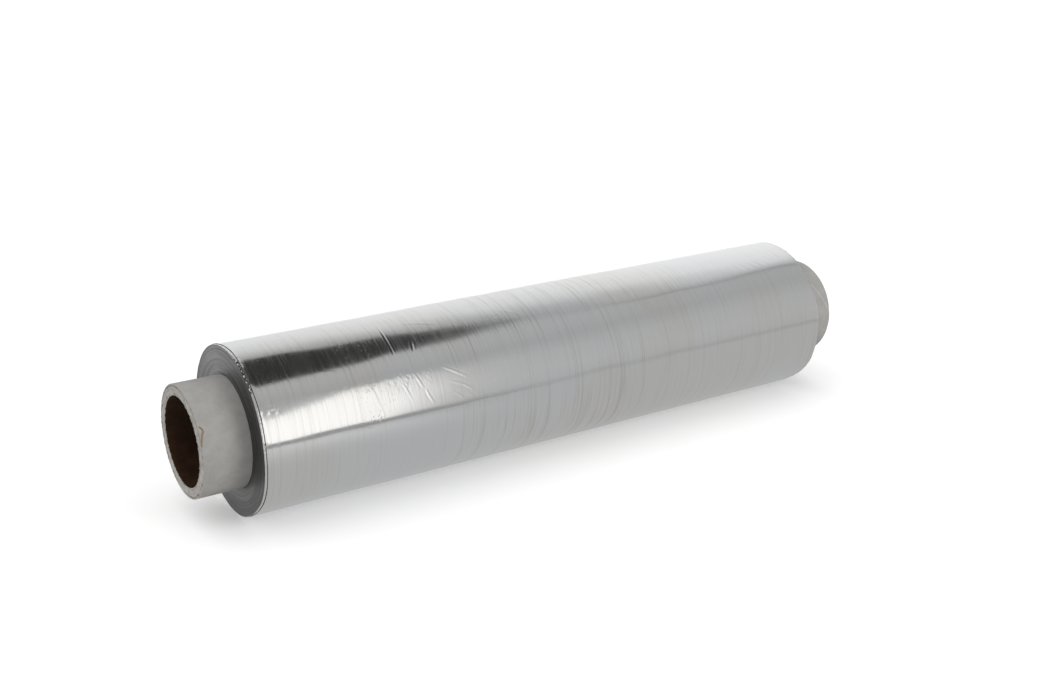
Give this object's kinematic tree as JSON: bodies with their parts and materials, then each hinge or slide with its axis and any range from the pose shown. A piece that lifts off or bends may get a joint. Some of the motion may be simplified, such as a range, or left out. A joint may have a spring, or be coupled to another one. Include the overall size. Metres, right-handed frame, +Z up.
{
  "type": "aluminium foil roll",
  "caption": "Roll of kitchen aluminium foil wound on a card core that stands out past the foil, lying on its side.",
  "frame": {"origin": "on the surface that the roll lies on, under the middle of the roll", "axes": "+X along the roll, +Z up, -Y towards a person facing its side"},
  "size_m": [0.341, 0.074, 0.0738],
  "materials": {
    "core_card": "matt grey-brown wound card",
    "foil": "bright rolled foil with fine lines round the roll"
  },
  "bodies": {
    "root": {"core_tube": "core_card", "foil_roll": "foil"}
  },
  "joints": []
}
